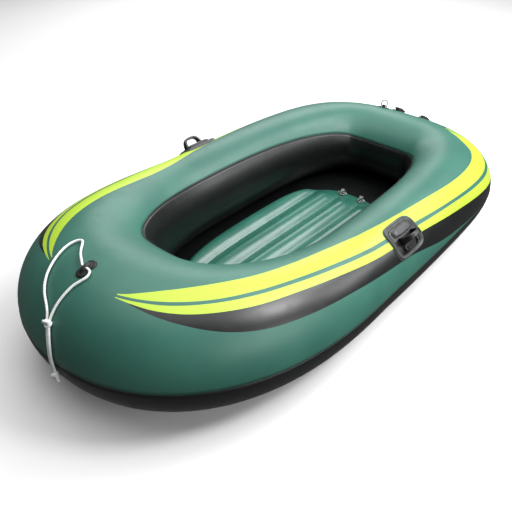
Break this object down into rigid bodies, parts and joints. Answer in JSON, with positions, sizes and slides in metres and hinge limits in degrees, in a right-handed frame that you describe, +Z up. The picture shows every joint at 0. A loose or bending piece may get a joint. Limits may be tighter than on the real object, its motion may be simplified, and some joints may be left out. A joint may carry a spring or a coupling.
{
  "type": "inflatable boat",
  "caption": "Small inflatable rowing boat: ring-shaped air tube with a ribbed air floor, oarlocks, bow eye with line, stern ring and valves.",
  "frame": {"origin": "on the ground under the middle of the boat's length and width", "axes": "+X towards the bow, +Y to port, +Z up"},
  "size_m": [1.947, 1.0592, 0.4258],
  "materials": {
    "green_pvc": "semi-gloss welded PVC sheet",
    "black_pvc": "semi-gloss welded PVC sheet",
    "grey_rubber": "moulded, satin",
    "black_rubber": "moulded, satin",
    "grey_plastic": "moulded, glossy",
    "black_plastic": "moulded, glossy",
    "valve_silicone": "soft, matte",
    "clear_pvc": "clear soft PVC",
    "white_cord": "braided polyester"
  },
  "bodies": {
    "hull": {"bottom_sheet": "black_pvc", "bow_eye": "black_rubber", "bow_line_end_knot": "white_cord", "bow_line_in_eye": "white_cord", "bow_line_port": "white_cord", "bow_line_starboard": "white_cord", "bow_line_upper_knot": "white_cord", "chamber_bulkheads": "black_pvc", "floor_bottom_sheet": "black_pvc", "floor_top_sheet": "green_pvc", "floor_valve_stem_port": "clear_pvc", "floor_valve_stem_starboard": "clear_pvc", "floor_webs": "black_pvc", "hull_valve_base_port": "black_plastic", "hull_valve_base_starboard": "black_plastic", "hull_valve_disc_port": "valve_silicone", "hull_valve_disc_starboard": "valve_silicone", "oarlock_horn_port": "black_rubber", "oarlock_horn_starboard": "black_rubber", "oarlock_pad_port": "grey_rubber", "oarlock_pad_starboard": "grey_rubber", "stern_ring_patch": "black_rubber", "tube_lower_sheet": "black_pvc", "tube_upper_sheet": "green_pvc"},
    "stern_ring": {"stern_ring": "grey_plastic"},
    "hull_valve_cap_port": {"hull_valve_cap_port": "black_plastic"},
    "hull_valve_cap_starboard": {"hull_valve_cap_starboard": "black_plastic"},
    "floor_valve_plug_port": {"floor_valve_plug_port": "clear_pvc"},
    "floor_valve_plug_starboard": {"floor_valve_plug_starboard": "clear_pvc"}
  },
  "joints": [
    {"name": "stern_ring_swing", "type": "hinge", "parent": "hull", "child": "stern_ring", "pos_m": [-0.85822, -0.11516, 0.29183], "axis": [0.1178, -0.993, 0.0055], "range_deg": [-80, 80]},
    {"name": "hull_valve_cap_port_hinge", "type": "hinge", "parent": "hull", "child": "hull_valve_cap_port", "pos_m": [-0.92047, 0.07921, 0.25837], "axis": [-0.7404, 0.0168, -0.672], "range_deg": [0, 150]},
    {"name": "hull_valve_cap_starboard_hinge", "type": "hinge", "parent": "hull", "child": "hull_valve_cap_starboard", "pos_m": [-0.89282, -0.03254, 0.27897], "axis": [-0.8716, -0.02, -0.4898], "range_deg": [0, 150]},
    {"name": "floor_valve_plug_port_pull", "type": "slide", "parent": "hull", "child": "floor_valve_plug_port", "axis": [0, 0, 1], "range_m": [0, 0.014]},
    {"name": "floor_valve_plug_starboard_pull", "type": "slide", "parent": "hull", "child": "floor_valve_plug_starboard", "axis": [0, 0, 1], "range_m": [0, 0.014]}
  ]
}
